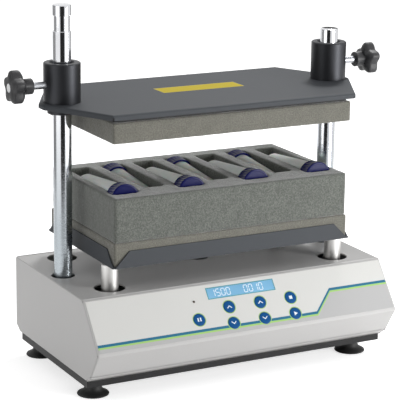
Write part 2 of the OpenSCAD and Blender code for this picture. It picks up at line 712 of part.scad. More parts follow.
module counterweight() color("#7a6a3c") rotate(rest_turn) difference() {
    union() {
        rod(crank_web_d + 10, web_z + 0.1, web_top - 0.1);
        intersection() {
            rod(2 * weight_r, web_z + 0.1, web_top - 0.1);
            linear_extrude(body_top) polygon(concat([[0, 0]], [for (k = [-2 : 2])
                let (a = 180 + k * weight_angle / 4) 2 * weight_r * [cos(a), sin(a)]]));
        }
    }
    rod(crank_web_d + 2 * seat_gap, deck_z, body_top);
}

// ---- Boards on the pan ----
// Finned heat sink standing on a board, its fins across
module heat_sink(w, fins) {
    block([w, 6 * fins - 4, 4], pcb_t);
    for (k = [0 : fins - 1]) translate([0, 6 * (k - (fins - 1) / 2), 0]) block([w, 2, tall_part - 6], pcb_t);
}
module power_supply() color("#3d6b3f") translate([-driver_x, 0, driver_z]) {
    block([driver_w, driver_l, pcb_t], seat_gap);
    translate([0, -0.23 * driver_l, 0]) block([driver_w - 10, driver_l / 3, tall_part], pcb_t);
    for (y = [0.07, 0.23]) translate([-driver_w / 5, y * driver_l, 0]) rod(driver_w / 3, pcb_t, tall_part - 4);
    translate([driver_w / 4, driver_l / 7, 0]) heat_sink(driver_w / 3, 5);
    translate([0, 0.41 * driver_l, 0]) block([driver_w - 14, driver_l / 12, tall_part / 3], pcb_t);
}
module motor_driver() color("#3d6b3f") translate([driver_x, 0, driver_z]) {
    block([driver_w, driver_l, pcb_t], seat_gap);
    translate([driver_w / 6, -driver_l / 7, 0]) heat_sink(driver_w / 2, 7);
    translate([-0.27 * driver_w, -0.18 * driver_l, 0]) rod(0.36 * driver_w, pcb_t, tall_part);
    translate([-0.23 * driver_w, 0.18 * driver_l, 0]) block([driver_w / 3, driver_w / 3, 2], pcb_t);
    translate([0, 0.41 * driver_l, 0]) block([driver_w - 14, driver_l / 12, tall_part / 3], pcb_t);
}

// ---- Orbiting carrier ----
module post_bore(z0, z1, d = post_screw_d) rod(d + 2 * seat_gap, z0, z1);
module drive_plate() color("#a8abae") on_carrier() difference() {
    rounded_plate(plate_l, plate_w, 16, plate_z, plate_t);
    rod(bearing_od + 2 * seat_gap, plate_z - cut, plate_top + cut);
    idler_places() rod(idler_bearing_od + 2 * seat_gap, plate_z - cut, plate_top + cut);
    four(short_x, short_y) post_bore(plate_z - cut, plate_top + cut);
    four(tall_x, 0) post_bore(plate_z - cut, plate_top + cut);
    for (sx = both, sy = both) translate([sx * 48, sy * 42, 0]) rod(46, plate_z - cut, plate_top + cut);
}
module short_post(sx, sy) color("silver") on_carrier() translate([sx * short_x, sy * short_y, 0])
difference() {
    rotate_extrude() polygon([[0, plate_top + seat_gap], [short_d / 2 - 0.6, plate_top + seat_gap],
        [short_d / 2, plate_top + 0.6], [short_d / 2, tray_z - 0.6], [short_d / 2 - 0.6, tray_z - seat_gap],
        [0, tray_z - seat_gap]]);
    post_bore(plate_top - cut, plate_top + 17);
    post_bore(tray_z - 15, tray_z + cut, tray_screw_d);
}
module short_post_front_left() short_post(-1, -1);
module short_post_front_right() short_post(1, -1);
module short_post_rear_left() short_post(-1, 1);
module short_post_rear_right() short_post(1, 1);
module tall_post(sx, top) on_carrier() translate([sx * tall_x, 0, 0]) difference() {
    rotate_extrude() polygon([[0, plate_top + seat_gap], [tall_r, plate_top + seat_gap], [tall_r, top - 1],
        [tall_r - 1, top], [0, top]]);
    post_bore(plate_top - cut, plate_top + 17);
}
module tall_post_left() color("#d8d8d8") difference() {
    tall_post(-1, left_top);
    on_carrier() translate([-tall_x, 0, 0])
        ring(tall_d + 2, neck_d, left_top - head_l - neck_l, left_top - head_l);
}
module tall_post_right() color("#d8d8d8") tall_post(1, right_top);
module carrier_screws() color("silver") on_carrier() {
    four(short_x, short_y) {
        bolt(post_screw_d, post_head_d, -post_head_h, plate_z - seat_gap, plate_top + 16);
        bolt(tray_screw_d, tray_head_d, 3, tray_top + seat_gap, tray_z - 14);
    }
    for (sx = both) translate([sx * tall_x, 0, 0])
        bolt(post_screw_d, post_head_d, -post_head_h, plate_z - seat_gap, plate_top + 16);
}

// ---- Tray, foams and tubes ----
// One turned-up side: a leaning section along the edge, its ends cut back at 45 degrees
module flange(length, out) intersection() {
    along_x(length) polygon([[-out, tray_z], [flange_rise - out, tray_z + flange_h],
        [flange_run - out, tray_z + flange_h], [flange_wall - out, tray_z]]);
    rotate([90, 0, 0]) linear_extrude(2 * out + cut, center = true) polygon([
        [corner_relief - length / 2, tray_z], [length / 2 - corner_relief, tray_z],
        [length / 2 - corner_relief - flange_h, tray_z + flange_h],
        [corner_relief - length / 2 + flange_h, tray_z + flange_h]]);
}
module tray() color("#4d5056") on_carrier() {
    difference() {
        block([tray_l - tray_t, tray_w - tray_t, tray_t], tray_z);
        four(short_x, short_y) post_bore(tray_z - cut, tray_top + cut, tray_screw_d);
    }
    for (a = [0, 180]) rotate(a) flange(tray_l, tray_w / 2);
    for (a = [90, 270]) rotate(a) flange(tray_w, tray_l / 2);
}
module base_pad() color("#8a8a80") on_carrier() difference() {
    block([foam_l, foam_w, pad_t], pad_z);
    four(short_x, short_y) rod(tray_head_d + 4, pad_z - cut, tray_top + 4);
}
// Tubes lie head to tail: caps at the front in the even slots, at the rear and deeper in the odd ones
module at_tube(i) translate([(i - (slot_n - 1) / 2) * slot_pitch, 0, insert_top])
    rotate(180 * (i % 2)) translate([0, face_y, i % 2 == 0 ? -front_drop : -rear_drop])
        rotate([-90 - tube_tilt, 0, 0]) children();
module tube_insert() color("#83887f") on_carrier() difference() {
    block([insert_l, insert_w, insert_t], insert_z);
    for (i = [0 : slot_n - 1]) {
        covered = i % 2 == 0 ? 0 : slot_cover;
        translate([(i - (slot_n - 1) / 2) * slot_pitch, covered / 2, 0])
            block([slot_w, slot_l - covered, slot_d + cut], insert_top - slot_d);
        at_tube(i) {
            rod(tube_d + 2 * tube_gap, 0, tube_l - cone_l);
            translate([0, 0, tube_l - cone_l])
                cylinder(d1 = tube_d + 2 * tube_gap, d2 = slot_w / 3, h = cone_l + tube_gap);
            rod(cap_d + 2 * tube_gap, -tube_gap, cap_l + tube_gap);
        }
    }
}
module tubes() color("#d9dcd6") on_carrier() for (i = [0 : slot_n - 1]) at_tube(i) rotate_extrude() {
    r = tube_d / 2;
    polygon([[0, tube_l - tube_wall], [3 - tube_wall / 2, tube_l - tube_wall],
             [r - tube_wall, tube_l - cone_l], [r - tube_wall, 2], [r, 2], [r, tube_l - cone_l],
             [3, tube_l], [0, tube_l]]);
}
// Screw cap: a turned shell with a smooth rim at the open end, ribbed up to the rounded face
module tube_caps() color("#1f2470") on_carrier() for (i = [0 : slot_n - 1]) at_tube(i) difference() {
    r = cap_d / 2;
    intersection() {
        rotate_extrude() polygon([[0, 0], [r - 2, 0], [r - 0.8, 0.4], [r, 1.4], [r, cap_l], [0, cap_l]]);
        union() {
            linear_extrude(cap_l - 1) polygon([for (k = [0 : 2 * cap_ribs - 1])
                (k % 2 == 0 ? r : r - 0.6) * [cos(180 * k / cap_ribs), sin(180 * k / cap_ribs)]]);
            rod(cap_d - 0.4, cap_l - 2.5, cap_l);
        }
    }
    rod(tube_d + 2 * seat_gap, 1.7, cap_l + cut);
}

// ---- Clamp plate ----
// Slab under the plate's outline, moved inward, its top edge bent over a radius on every side
module folded(inward, bend, z0, z1) intersection() {
    translate([0, 0, z0]) linear_extrude(z1 - z0)
        polygon(rounded(inset(clamp_outline, inward), clamp_corner - inward));
    intersection_for(side = clamp_sides) rotate(side[0]) rotate([90, 0, 0])
        linear_extrude(2 * clamp_tip_l, center = true) polygon(arched(side[1] - inward, bend, z0, z1));
}
module clamp_plate() color("#5c5f63") on_carrier() difference() {
    folded(0, clamp_bend, clamp_z - lip_h, clamp_z);
    folded(lip_t, clamp_bend - lip_t, clamp_z - lip_h - cut, clamp_z - clamp_t);
    for (sx = both) translate([sx * tall_x, 0, 0]) rod(spigot_d + 2 * seat_gap, 0, clamp_z + cut);
    for (sx = both, sy = both) translate([sx * clamp_l / 2, sy * clamp_w / 2, 0]) rotate(sx * sy * 60)
        block([16, slit_w, lip_h - clamp_bend + cut], clamp_z - lip_h - cut);
}
module backing_board() color("#202020") on_carrier()
    rounded_plate(top_pad_l - 2 * board_edge, foam_w - 2 * board_edge, 6, board_z, board_t - seat_gap);
module top_pad() color("#8c8b82") on_carrier() block([top_pad_l, foam_w, top_pad_t], top_pad_z);

// ---- Collars, liners and clamp screws ----
module at_collar(sx) on_carrier() translate([sx * tall_x, 0, 0]) children();
module along_screw(sx) at_collar(sx) translate([0, 0, screw_z]) rotate([0, sx * 90, 0]) children();
module collar(sx) color("#242424") difference() {
    at_collar(sx) rotate_extrude() {
        top = clamp_z + collar_h;
        polygon([[collar_bore, nut_z], [spigot_d / 2, nut_z], [spigot_d / 2, clamp_z + seat_gap],
                 [collar_d / 2, clamp_z + seat_gap], [collar_d / 2, top - 1], [collar_d / 2 - 1, top],
                 [collar_bore + 1.5, top], [collar_bore, top - 2.5]]);
    }
    along_screw(sx) rod(2 * screw_bore, 0, collar_d);
}
module collar_left() collar(-1);
module collar_right() collar(1);
module collar_liners() color("#d8d6cf") for (sx = both) difference() {
    at_collar(sx) ring(2 * liner_out, 2 * liner_in, nut_z, clamp_z + collar_h - 3);
    along_screw(sx) rod(2 * screw_bore, 0, collar_d);
}
module collar_nuts() color("#242424") for (sx = both) at_collar(sx)
    ring(ring_nut_d, spigot_d + 2 * seat_gap, nut_z, clamp_z - clamp_t - seat_gap);
module tip(sx) color("#b08d3c") along_screw(sx) rod(screw_d, tall_r + face_gap, tall_r + face_gap + tip_l);
module tip_left() tip(-1);
module tip_right() tip(1);
module screw(sx) color("silver") along_screw(sx) {
    rod(screw_d, tall_r + face_gap + tip_l + seat_gap, knob_start + knob_l);
    rod(insert_d, knob_start + knob_l - 4, knob_start + knob_l + 0.2);
}
module screw_left() screw(-1);
module screw_right() screw(1);
// Five fat lobes with shallow valleys between them
module star_outline() difference() {
    union() {
        circle(r = 0.42 * star_d);
        star_places(0) translate([0.32 * star_d, 0]) circle(r = 0.18 * star_d);
    }
    star_places(180 / lobe_n) translate([0.61 * star_d, 0]) circle(r = 0.2 * star_d, $fn = 48);
}
module star_places(turn) for (a = [0 : 360 / lobe_n : 359]) rotate(a + turn) children();
// Turned blank of the knob: hub, tapered back, and a domed face down to the metal insert
module knob_blank() rotate_extrude() {
    r = star_d / 2;
    back = knob_start + hub_l;
    face = knob_start + knob_l;
    polygon([[0, knob_start], [hub_d / 2 - 0.5, knob_start], [hub_d / 2, knob_start + 0.5], [hub_d / 2, back],
        [0.72 * r, back + 0.5], [0.94 * r, back + 0.22 * star_t], [r, back + 0.34 * star_t],
        [r, back + 0.62 * star_t], [0.97 * r, back + 0.76 * star_t], [0.88 * r, back + 0.88 * star_t],
        [0.7 * r, face - 0.3], [insert_d / 2 + 1, face], [0, face]]);
}
module knob(sx) color("#1f1f1f") along_screw(sx) difference() {
    intersection() {
        knob_blank();
        union() {
            rod(hub_d, knob_start - cut, knob_start + hub_l + cut);
            translate([0, 0, knob_start + hub_l]) linear_extrude(star_t + cut) star_outline();
        }
    }
    rod(screw_d + 2 * seat_gap, 0, knob_start + knob_l + cut);
    rod(insert_d + 2 * seat_gap, knob_start + knob_l - 4 - seat_gap, knob_start + knob_l + cut);
}
module knob_left() knob(-1);
module knob_right() knob(1);

cover();
base_pan();
feet();
foot_studs();
panel_overlay();
display_window();
display_module();
status_led();
key_mode();
key_speed_up();
key_speed_down();
key_time_up();
key_time_down();
key_stop();
key_start();
short_post_front_left();
short_post_front_right();
short_post_rear_left();
short_post_rear_right();
tall_post_left();
tall_post_right();
tray();
base_pad();
tube_insert();
tubes();
tube_caps();
clamp_plate();
backing_board();
top_pad();
collar_left();
collar_right();
collar_liners();
collar_nuts();
screw_left();
screw_right();
knob_left();
knob_right();
tip_left();
tip_right();
drive_plate();
carrier_bearings();
deck_bearings();
crank_shaft();
counterweight();
idler_crank_left();
idler_crank_right();
drive_deck();
deck_pillars();
drive_motor();
deck_screws();
carrier_screws();
control_board();
board_nuts();
power_supply();
motor_driver();
mains_inlet();
fuse_drawer();
switch_housing();
rocker();
cover_screws();
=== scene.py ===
import json
import math

import bpy
from mathutils import Matrix, Vector


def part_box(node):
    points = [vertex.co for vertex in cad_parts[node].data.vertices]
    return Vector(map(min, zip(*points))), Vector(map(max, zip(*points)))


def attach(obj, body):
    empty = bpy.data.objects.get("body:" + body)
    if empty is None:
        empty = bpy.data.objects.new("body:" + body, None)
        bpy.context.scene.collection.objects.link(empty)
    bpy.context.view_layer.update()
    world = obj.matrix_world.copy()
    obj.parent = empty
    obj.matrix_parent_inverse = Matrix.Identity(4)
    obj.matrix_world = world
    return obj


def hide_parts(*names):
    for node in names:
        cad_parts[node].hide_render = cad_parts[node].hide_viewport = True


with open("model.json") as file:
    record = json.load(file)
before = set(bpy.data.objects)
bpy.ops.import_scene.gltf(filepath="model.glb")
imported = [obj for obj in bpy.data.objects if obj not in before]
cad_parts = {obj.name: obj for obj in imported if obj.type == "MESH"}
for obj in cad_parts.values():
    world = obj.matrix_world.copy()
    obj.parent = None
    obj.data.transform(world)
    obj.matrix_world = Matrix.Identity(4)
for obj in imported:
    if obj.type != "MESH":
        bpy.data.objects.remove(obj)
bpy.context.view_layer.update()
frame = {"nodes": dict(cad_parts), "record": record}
mm = 0.001

# ---------------------------------------------------------------- Table top and studio
# The mixer stands on a seamless white table. The floor is a stage piece: it takes the soft shadow
# and shows white to the camera, with a little light of its own that only the camera and shiny
# pieces see.


def tint(code):
    """An sRGB hex colour as linear red, green, blue, alpha."""
    channels = [int(code[i:i + 2], 16) / 255 for i in (1, 3, 5)]
    return [c / 12.92 if c <= 0.04045 else ((c + 0.055) / 1.055) ** 2.4 for c in channels] + [1.0]


def add_node(tree, kind, settings=None, links=None):
    """Adds one shader node, with its settings, its socket values and its links."""
    node = tree.nodes.new(kind)
    for key, value in (settings or {}).items():
        setattr(node, key, value)
    for key, value in (links or {}).items():
        if isinstance(value, bpy.types.NodeSocket):
            tree.links.new(value, node.inputs[key])
        else:
            node.inputs[key].default_value = value
    return node


def new_material(name):
    """A material with an empty tree and its output node."""
    material = bpy.data.materials.new(name)
    material.use_nodes = True
    material.node_tree.nodes.clear()
    return material, material.node_tree, add_node(material.node_tree, "ShaderNodeOutputMaterial")


def clear_selection():
    """Operators act on what is selected, so every piece starts from nothing selected."""
    if bpy.context.object and bpy.context.object.mode != "OBJECT":
        bpy.ops.object.mode_set(mode="OBJECT")
    bpy.ops.object.select_all(action="DESELECT")


floor_size = 12.0
clear_selection()
bpy.ops.mesh.primitive_plane_add(size=floor_size, location=(0, 0, 0))
floor = bpy.context.object
floor.name = "table_top"
white_laminate, tree, output = new_material("white laminate")
seen = add_node(tree, "ShaderNodeLightPath")
direct = add_node(tree, "ShaderNodeMath", {"operation": "MAXIMUM"}, {
    0: seen.outputs["Is Camera Ray"], 1: seen.outputs["Is Glossy Ray"]})
board = add_node(tree, "ShaderNodeBsdfDiffuse", links={"Color": tint("#f0f0f0")})
own_light_level = 0.66
own_level = add_node(tree, "ShaderNodeMath", {"operation": "MULTIPLY"}, {
    0: direct.outputs[0], 1: own_light_level})
own_light = add_node(tree, "ShaderNodeEmission", links={
    "Color": tint("#ffffff"), "Strength": own_level.outputs[0]})
both = add_node(tree, "ShaderNodeAddShader", links={0: board.outputs[0], 1: own_light.outputs[0]})
tree.links.new(both.outputs[0], output.inputs[0])
floor.data.materials.append(white_laminate)

scene = bpy.context.scene
scene.view_settings.view_transform = "Standard"
world = bpy.data.worlds.new("white studio")
scene.world = world
world.use_nodes = True
tree = world.node_tree
tree.nodes.clear()
seen = add_node(tree, "ShaderNodeLightPath")
room_level = 0.42
room = add_node(tree, "ShaderNodeBackground", links={"Color": tint("#ffffff"), "Strength": room_level})
backdrop = add_node(tree, "ShaderNodeBackground", links={"Color": tint("#ffffff"), "Strength": 1.0})
direct = add_node(tree, "ShaderNodeMath", {"operation": "MAXIMUM"}, {
    0: seen.outputs["Is Camera Ray"], 1: seen.outputs["Is Glossy Ray"]})
direct = add_node(tree, "ShaderNodeMath", {"operation": "MAXIMUM"}, {
    0: direct.outputs[0], 1: seen.outputs["Is Transmission Ray"]})
either = add_node(tree, "ShaderNodeMixShader", links={
    0: direct.outputs[0], 1: room.outputs[0], 2: backdrop.outputs[0]})
output = add_node(tree, "ShaderNodeOutputWorld", links={"Surface": either.outputs[0]})

# Three softboxes: the key stands low right of the front, a fill left, and a small rim light behind.
for name, place, size, power in (
        ("key_softbox", (0.95, -1.25, 0.35), 0.6, 17.5),
        ("fill_softbox", (-1.9, -0.4, 0.5), 0.8, 4.0),
        ("rim_softbox", (0.95, 0.9, 1.8), 0.4, 19.0)):
    lamp = bpy.data.lights.new(name, "AREA")
    lamp.size = size
    lamp.energy = power
    softbox = bpy.data.objects.new(name, lamp)
    softbox.location = place
    softbox.rotation_euler = (Vector((0, 0, 0.2)) - Vector(place)).to_track_quat("-Z", "Y").to_euler()
    scene.collection.objects.link(softbox)

# Felt flags round the table give the plated posts their dark stripes. Only reflections see them. The
# darkest one stands in front, and two grey ones stand behind the mixer, to the left and the right.
flag_height = 0.62
for name, turn, distance, width, shade in (("front_flag", -26.7, 0.735, 0.69, "#363636"),
                                           ("left_flag", -125, 0.95, 0.8, "#a8a8a8"),
                                           ("right_flag", 128, 0.95, 0.5, "#585858")):
    felt, tree, output = new_material(f"{name} felt")
    weave = add_node(tree, "ShaderNodeBsdfDiffuse", links={"Color": tint(shade)})
    tree.links.new(weave.outputs[0], output.inputs[0])
    clear_selection()
    bpy.ops.mesh.primitive_plane_add(size=1)
    flag = bpy.context.object
    flag.name = name
    around = Matrix.Rotation(math.radians(turn), 4, "Z")
    stand = around @ Matrix.Translation((0, -distance, flag_height / 2))
    upright = Matrix.Rotation(math.radians(90), 4, "X")
    flag.data.transform(stand @ upright @ Matrix.Diagonal((width, flag_height, 1, 1)))
    flag.data.materials.append(felt)
    flag.visible_camera = False
    flag.visible_diffuse = False
    flag.visible_shadow = False
    flag.visible_transmission = False

# The camera looks down at the front left corner with a long lens.
camera_turn = math.radians(-28.11)
camera_rise = math.radians(14.55)
camera_roll = math.radians(0.76)
camera_distance = 2.031
camera_aim = Vector((0.002, 0, 0.1804))
camera_back = Vector((math.sin(camera_turn) * math.cos(camera_rise),
                      -math.cos(camera_turn) * math.cos(camera_rise), math.sin(camera_rise)))
camera_right = (-camera_back).cross(Vector((0, 0, 1))).normalized()
camera_up = camera_right.cross(-camera_back)
level = Matrix((camera_right, camera_up, camera_back)).transposed()
camera = bpy.data.objects.new("camera", bpy.data.cameras.new("camera"))
camera.data.sensor_width = 36
camera.data.lens = 162.2
camera.data.clip_end = 30
camera.matrix_world = (Matrix.Translation(camera_aim + camera_distance * camera_back)
                       @ level.to_4x4() @ Matrix.Rotation(camera_roll, 4, "Z"))
scene.collection.objects.link(camera)
scene.camera = camera

# ---------------------------------------------------------------- Cover
# One folded steel sheet with two welded end plates, ground smooth at the edges and powder coated in
# light warm grey. The coat has a faint orange peel, about 2 mm from crest to crest.


edge_angle, smooth_angle = 40, 38


def copy_of(node, name):
    """A merged copy of a part's own mesh, so that its edges can be rounded and its shading smooth."""
    clear_selection()
    piece = frame["nodes"][node].copy()
    piece.data = frame["nodes"][node].data.copy()
    piece.name = name
    piece.parent = None
    piece.matrix_world = Matrix.Identity(4)
    piece.data.materials.clear()
    scene.collection.objects.link(piece)
    piece.select_set(True)
    bpy.context.view_layer.objects.active = piece
    bpy.ops.object.mode_set(mode="EDIT")
    bpy.ops.mesh.select_all(action="SELECT")
    bpy.ops.mesh.remove_doubles(threshold=0.01 * mm)
    bpy.ops.mesh.dissolve_limited(angle_limit=math.radians(0.4))
    bpy.ops.object.mode_set(mode="OBJECT")
    return piece


def even_shading(piece):
    """Smooth shading that leaves flat faces flat: the large faces lead the normals at each corner."""
    bpy.ops.object.shade_smooth_by_angle(angle=math.radians(smooth_angle))
    lead = piece.modifiers.new("lead", "WEIGHTED_NORMAL")
    lead.keep_sharp = True
    bpy.ops.object.modifier_apply(modifier=lead.name)
    return piece


def soften(piece, width):
    """Rounds every edge sharper than the edge angle, in millimetres, and smooths the shading."""
    clear_selection()
    piece.select_set(True)
    bpy.context.view_layer.objects.active = piece
    bevel = piece.modifiers.new("edges", "BEVEL")
    bevel.width = width * mm
    bevel.segments = 2
    bevel.limit_method = "ANGLE"
    bevel.angle_limit = math.radians(edge_angle)
    bevel.use_clamp_overlap = True
    bpy.ops.object.modifier_apply(modifier=bevel.name)
    return even_shading(piece)


def settle(piece, material, body, slot, *nodes):
    """Gives a finished piece its material and its body, and hides the nodes that it stands for."""
    piece.data.materials.clear()
    piece.data.materials.append(material)
    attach(piece, body)
    if nodes:
        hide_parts(*nodes)
    return piece


def coat(name, colour, spread=0.03, roughness=0.45, grain_mm=2.0, depth=0.02, **sockets):
    """A coated or moulded surface: its colour drifts a little, and its skin has a fine grain."""
    material, tree, output = new_material(name)
    place = add_node(tree, "ShaderNodeTexCoord").outputs["Object"]
    drift = add_node(tree, "ShaderNodeTexNoise", links={
        "Vector": place, "Scale": 1 / (45 * mm), "Detail": 2.0})
    low = [c * (1 - spread) for c in tint(colour)[:3]] + [1]
    high = [min(1, c * (1 + spread)) for c in tint(colour)[:3]] + [1]
    shade = add_node(tree, "ShaderNodeMix", {"data_type": "RGBA"}, {
        0: drift.outputs["Fac"], 6: low, 7: high})
    grain = add_node(tree, "ShaderNodeTexNoise", links={
        "Vector": place, "Scale": 1 / (grain_mm * mm), "Detail": 3.0})
    bump = add_node(tree, "ShaderNodeBump", links={
        "Height": grain.outputs["Fac"], "Strength": 0.35, "Distance": depth * mm})
    shader = add_node(tree, "ShaderNodeBsdfPrincipled", links={
        "Base Color": shade.outputs[2], "Roughness": roughness, "Normal": bump.outputs[0], **sockets})
    tree.links.new(shader.outputs[0], output.inputs[0])
    return material


cover_end = 185.0
cover_edge = 2.0
cover = copy_of("cover", "cover_shell")
bpy.ops.object.mode_set(mode="EDIT")
bpy.ops.mesh.select_mode(type="EDGE")
bpy.ops.mesh.select_all(action="DESELECT")
bpy.ops.object.mode_set(mode="OBJECT")
for edge in cover.data.edges:
    ends = [cover.data.vertices[i].co for i in edge.vertices]
    edge.select = all(abs(abs(end.x) - cover_end * mm) < 0.01 * mm for end in ends)
bpy.ops.object.mode_set(mode="EDIT")
bpy.ops.mesh.bevel(offset=cover_edge * mm, segments=3, affect="EDGES")
bpy.ops.object.mode_set(mode="OBJECT")
even_shading(cover)
powder_coat = coat("light grey powder coat", "#c8c7c6", spread=0.012, roughness=0.36, grain_mm=1.6,
                   **{"Specular IOR Level": 0.3})
settle(cover, powder_coat, "base", "painted_steel", "cover")

# ---------------------------------------------------------------- Base pan
# A folded steel pan, powder coated satin black, that closes the housing from below and carries the
# feet, the deck pillars and the boards.
pan = soften(copy_of("base_pan", "base_pan_shell"), 0.5)
black_coat = coat("satin black powder coat", "#1b1b1c", roughness=0.5, grain_mm=1.6,
                  **{"Specular IOR Level": 0.3})
settle(pan, black_coat, "base", "black_steel", "base_pan")

# ---------------------------------------------------------------- Feet
# Four turned rubber feet with a thin spread brim, each on a zinc-plated stud held by two nuts. The
# rubber is matt black with a slight bloom.


def turned(name, profile, steps=72):
    """A turned piece: its half section, in millimetres from the axis and along it, spun once round."""
    clear_selection()
    mesh = bpy.data.meshes.new(name)
    mesh.from_pydata([(r * mm, 0, z * mm) for r, z in profile],
                     [(i, i + 1) for i in range(len(profile) - 1)], [])
    piece = bpy.data.objects.new(name, mesh)
    scene.collection.objects.link(piece)
    piece.select_set(True)
    bpy.context.view_layer.objects.active = piece
    bpy.ops.object.mode_set(mode="EDIT")
    bpy.ops.mesh.select_all(action="SELECT")
    bpy.ops.mesh.spin(steps=steps, angle=2 * math.pi, center=(0, 0, 0), axis=(0, 0, 1))
    bpy.ops.mesh.select_all(action="SELECT")
    bpy.ops.mesh.remove_doubles(threshold=0.002 * mm)
    bpy.ops.mesh.normals_make_consistent(inside=False)
    bpy.ops.object.mode_set(mode="OBJECT")
    bpy.ops.object.shade_smooth_by_angle(angle=math.radians(smooth_angle))
    return piece


foot_x, foot_y, foot_r = 163.0, 70.5, 17.5
foot_section = [(0, 0), (foot_r - 1.2, 0), (foot_r - 0.3, 0.3), (foot_r, 1.0), (foot_r - 0.4, 1.7),
                (foot_r - 2.2, 2.6), (12.4, 4.2), (10.2, 6.2), (9.3, 8.6), (8.9, 12.6), (8.3, 13.3),
                (3.1, 13.3), (3.1, 4.1), (0, 4.1)]
rubber = coat("black rubber", "#161616", spread=0.12, roughness=0.62, grain_mm=0.8, depth=0.03)
corners = [(x, y) for x in (-1, 1) for y in (-1, 1)]
for count, (side, end) in enumerate(corners):
    foot = turned(f"foot_{count + 1}", foot_section)
    foot.data.transform(Matrix.Translation((side * foot_x * mm, end * foot_y * mm, 0)))
    settle(foot, rubber, "base", "black_rubber", *(["feet"] if count == 0 else []))

# ---------------------------------------------------------------- Bright fasteners
# Studs, nuts and cap screws are bright zinc-plated steel: a pale, faintly clouded metal.
zinc, tree, output = new_material("bright zinc plate")
place = add_node(tree, "ShaderNodeTexCoord").outputs["Object"]
cloud = add_node(tree, "ShaderNodeTexNoise", links={"Vector": place, "Scale": 1 / (3 * mm), "Detail": 3.0})
rough = add_node(tree, "ShaderNodeMapRange", links={
    "Value": cloud.outputs["Fac"], "To Min": 0.22, "To Max": 0.38})
shader = add_node(tree, "ShaderNodeBsdfPrincipled", links={
    "Base Color": tint("#a3a5a9"), "Metallic": 1.0, "Roughness": rough.outputs[0]})
tree.links.new(shader.outputs[0], output.inputs[0])
for node, width in (("foot_studs", 0.3), ("cover_screws", 0.2), ("carrier_screws", 0.4),
                    ("deck_screws", 0.4)):
    body = "carrier" if node == "carrier_screws" else "base"
    settle(soften(copy_of(node, f"{node}_bright"), width), zinc, body, "zinc_steel", node)

# ---------------------------------------------------------------- Posts
# Four short posts carry the tray and two tall ones guide the clamp plate. The tall ones are ground
# bar with bright chrome plate, dulled and ringed by use below the clamp; the short ones are satin, their
# turning marks running round them.
deck_height = 78.05
short_r, short_top = 9.5, 140.45


def standing(node):
    """The move from the origin to the upright axis of a node, which is the middle of its box."""
    low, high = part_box(node)
    return Matrix.Translation(((low.x + high.x) / 2, (low.y + high.y) / 2, 0))


satin, tree, output = new_material("satin ground steel")
place = add_node(tree, "ShaderNodeTexCoord").outputs["Object"]
marks = add_node(tree, "ShaderNodeMapping", links={"Vector": place, "Scale": (1 / (40 * mm), 1 / (40 * mm),
                                                                             1 / (0.7 * mm))})
lines = add_node(tree, "ShaderNodeTexNoise", links={"Vector": marks.outputs[0], "Scale": 1.0, "Detail": 3.0})
rough = add_node(tree, "ShaderNodeMapRange", links={
    "Value": lines.outputs["Fac"], "To Min": 0.34, "To Max": 0.50})
bump = add_node(tree, "ShaderNodeBump", links={
    "Height": lines.outputs["Fac"], "Strength": 0.3, "Distance": 0.01 * mm})
shader = add_node(tree, "ShaderNodeBsdfPrincipled", links={
    "Base Color": tint("#d6d5d3"), "Metallic": 1.0, "Roughness": rough.outputs[0],
    "Normal": bump.outputs[0]})
tree.links.new(shader.outputs[0], output.inputs[0])
for node in ("short_post_front_left", "short_post_front_right", "short_post_rear_left",
             "short_post_rear_right"):
    post = turned(node.replace("post", "column"), [
        (0, deck_height), (short_r - 0.6, deck_height), (short_r, deck_height + 0.6),
        (short_r, short_top - 0.6), (short_r - 0.6, short_top), (0, short_top)], steps=96)
    post.data.transform(standing(node))
    settle(post, satin, "carrier", "satin_steel", node)

tall_r, neck_r = 10.0, 8.7
left_top, right_top, head, neck = 411.5, 365.0, 11.5, 16.5
neck_top = left_top - head
chrome, tree, output = new_material("bright chrome plate")
place = add_node(tree, "ShaderNodeTexCoord").outputs["Object"]
wear = add_node(tree, "ShaderNodeMapping", links={"Vector": place, "Scale": (1 / (2 * mm), 1 / (2 * mm),
                                                                            1 / (30 * mm))})
streak = add_node(tree, "ShaderNodeTexNoise", links={"Vector": wear.outputs[0], "Scale": 1.0, "Detail": 4.0})
polish = add_node(tree, "ShaderNodeMapRange", links={
    "Value": streak.outputs["Fac"], "From Min": 0.35, "From Max": 0.75, "To Min": 0.04, "To Max": 0.09})
rings = add_node(tree, "ShaderNodeMapping", links={"Vector": place, "Scale": (1 / (25 * mm), 1 / (25 * mm),
                                                                             1 / (0.9 * mm))})
rub = add_node(tree, "ShaderNodeTexNoise", links={"Vector": rings.outputs[0], "Scale": 1.0, "Detail": 3.0})
dulled = add_node(tree, "ShaderNodeMapRange", links={
    "Value": rub.outputs["Fac"], "From Min": 0.3, "From Max": 0.7, "To Min": 0.20, "To Max": 0.34})
height = add_node(tree, "ShaderNodeSeparateXYZ", links={"Vector": place}).outputs["Z"]
used = add_node(tree, "ShaderNodeMapRange", links={
    "Value": height, "From Min": 0.31, "From Max": 0.17, "To Min": 0.0, "To Max": 1.0})
rough = add_node(tree, "ShaderNodeMix", {"data_type": "FLOAT"}, {
    0: used.outputs[0], 2: polish.outputs[0], 3: dulled.outputs[0]})
shade = add_node(tree, "ShaderNodeMix", {"data_type": "RGBA"}, {
    0: used.outputs[0], 6: tint("#dcdde0"), 7: tint("#a9b0b5")})
shader = add_node(tree, "ShaderNodeBsdfPrincipled", links={
    "Base Color": shade.outputs[2], "Metallic": 1.0, "Roughness": rough.outputs[0]})
tree.links.new(shader.outputs[0], output.inputs[0])
plain_top = [(tall_r, right_top - 1.0), (tall_r - 0.3, right_top - 0.3), (tall_r - 1.0, right_top),
             (0, right_top)]
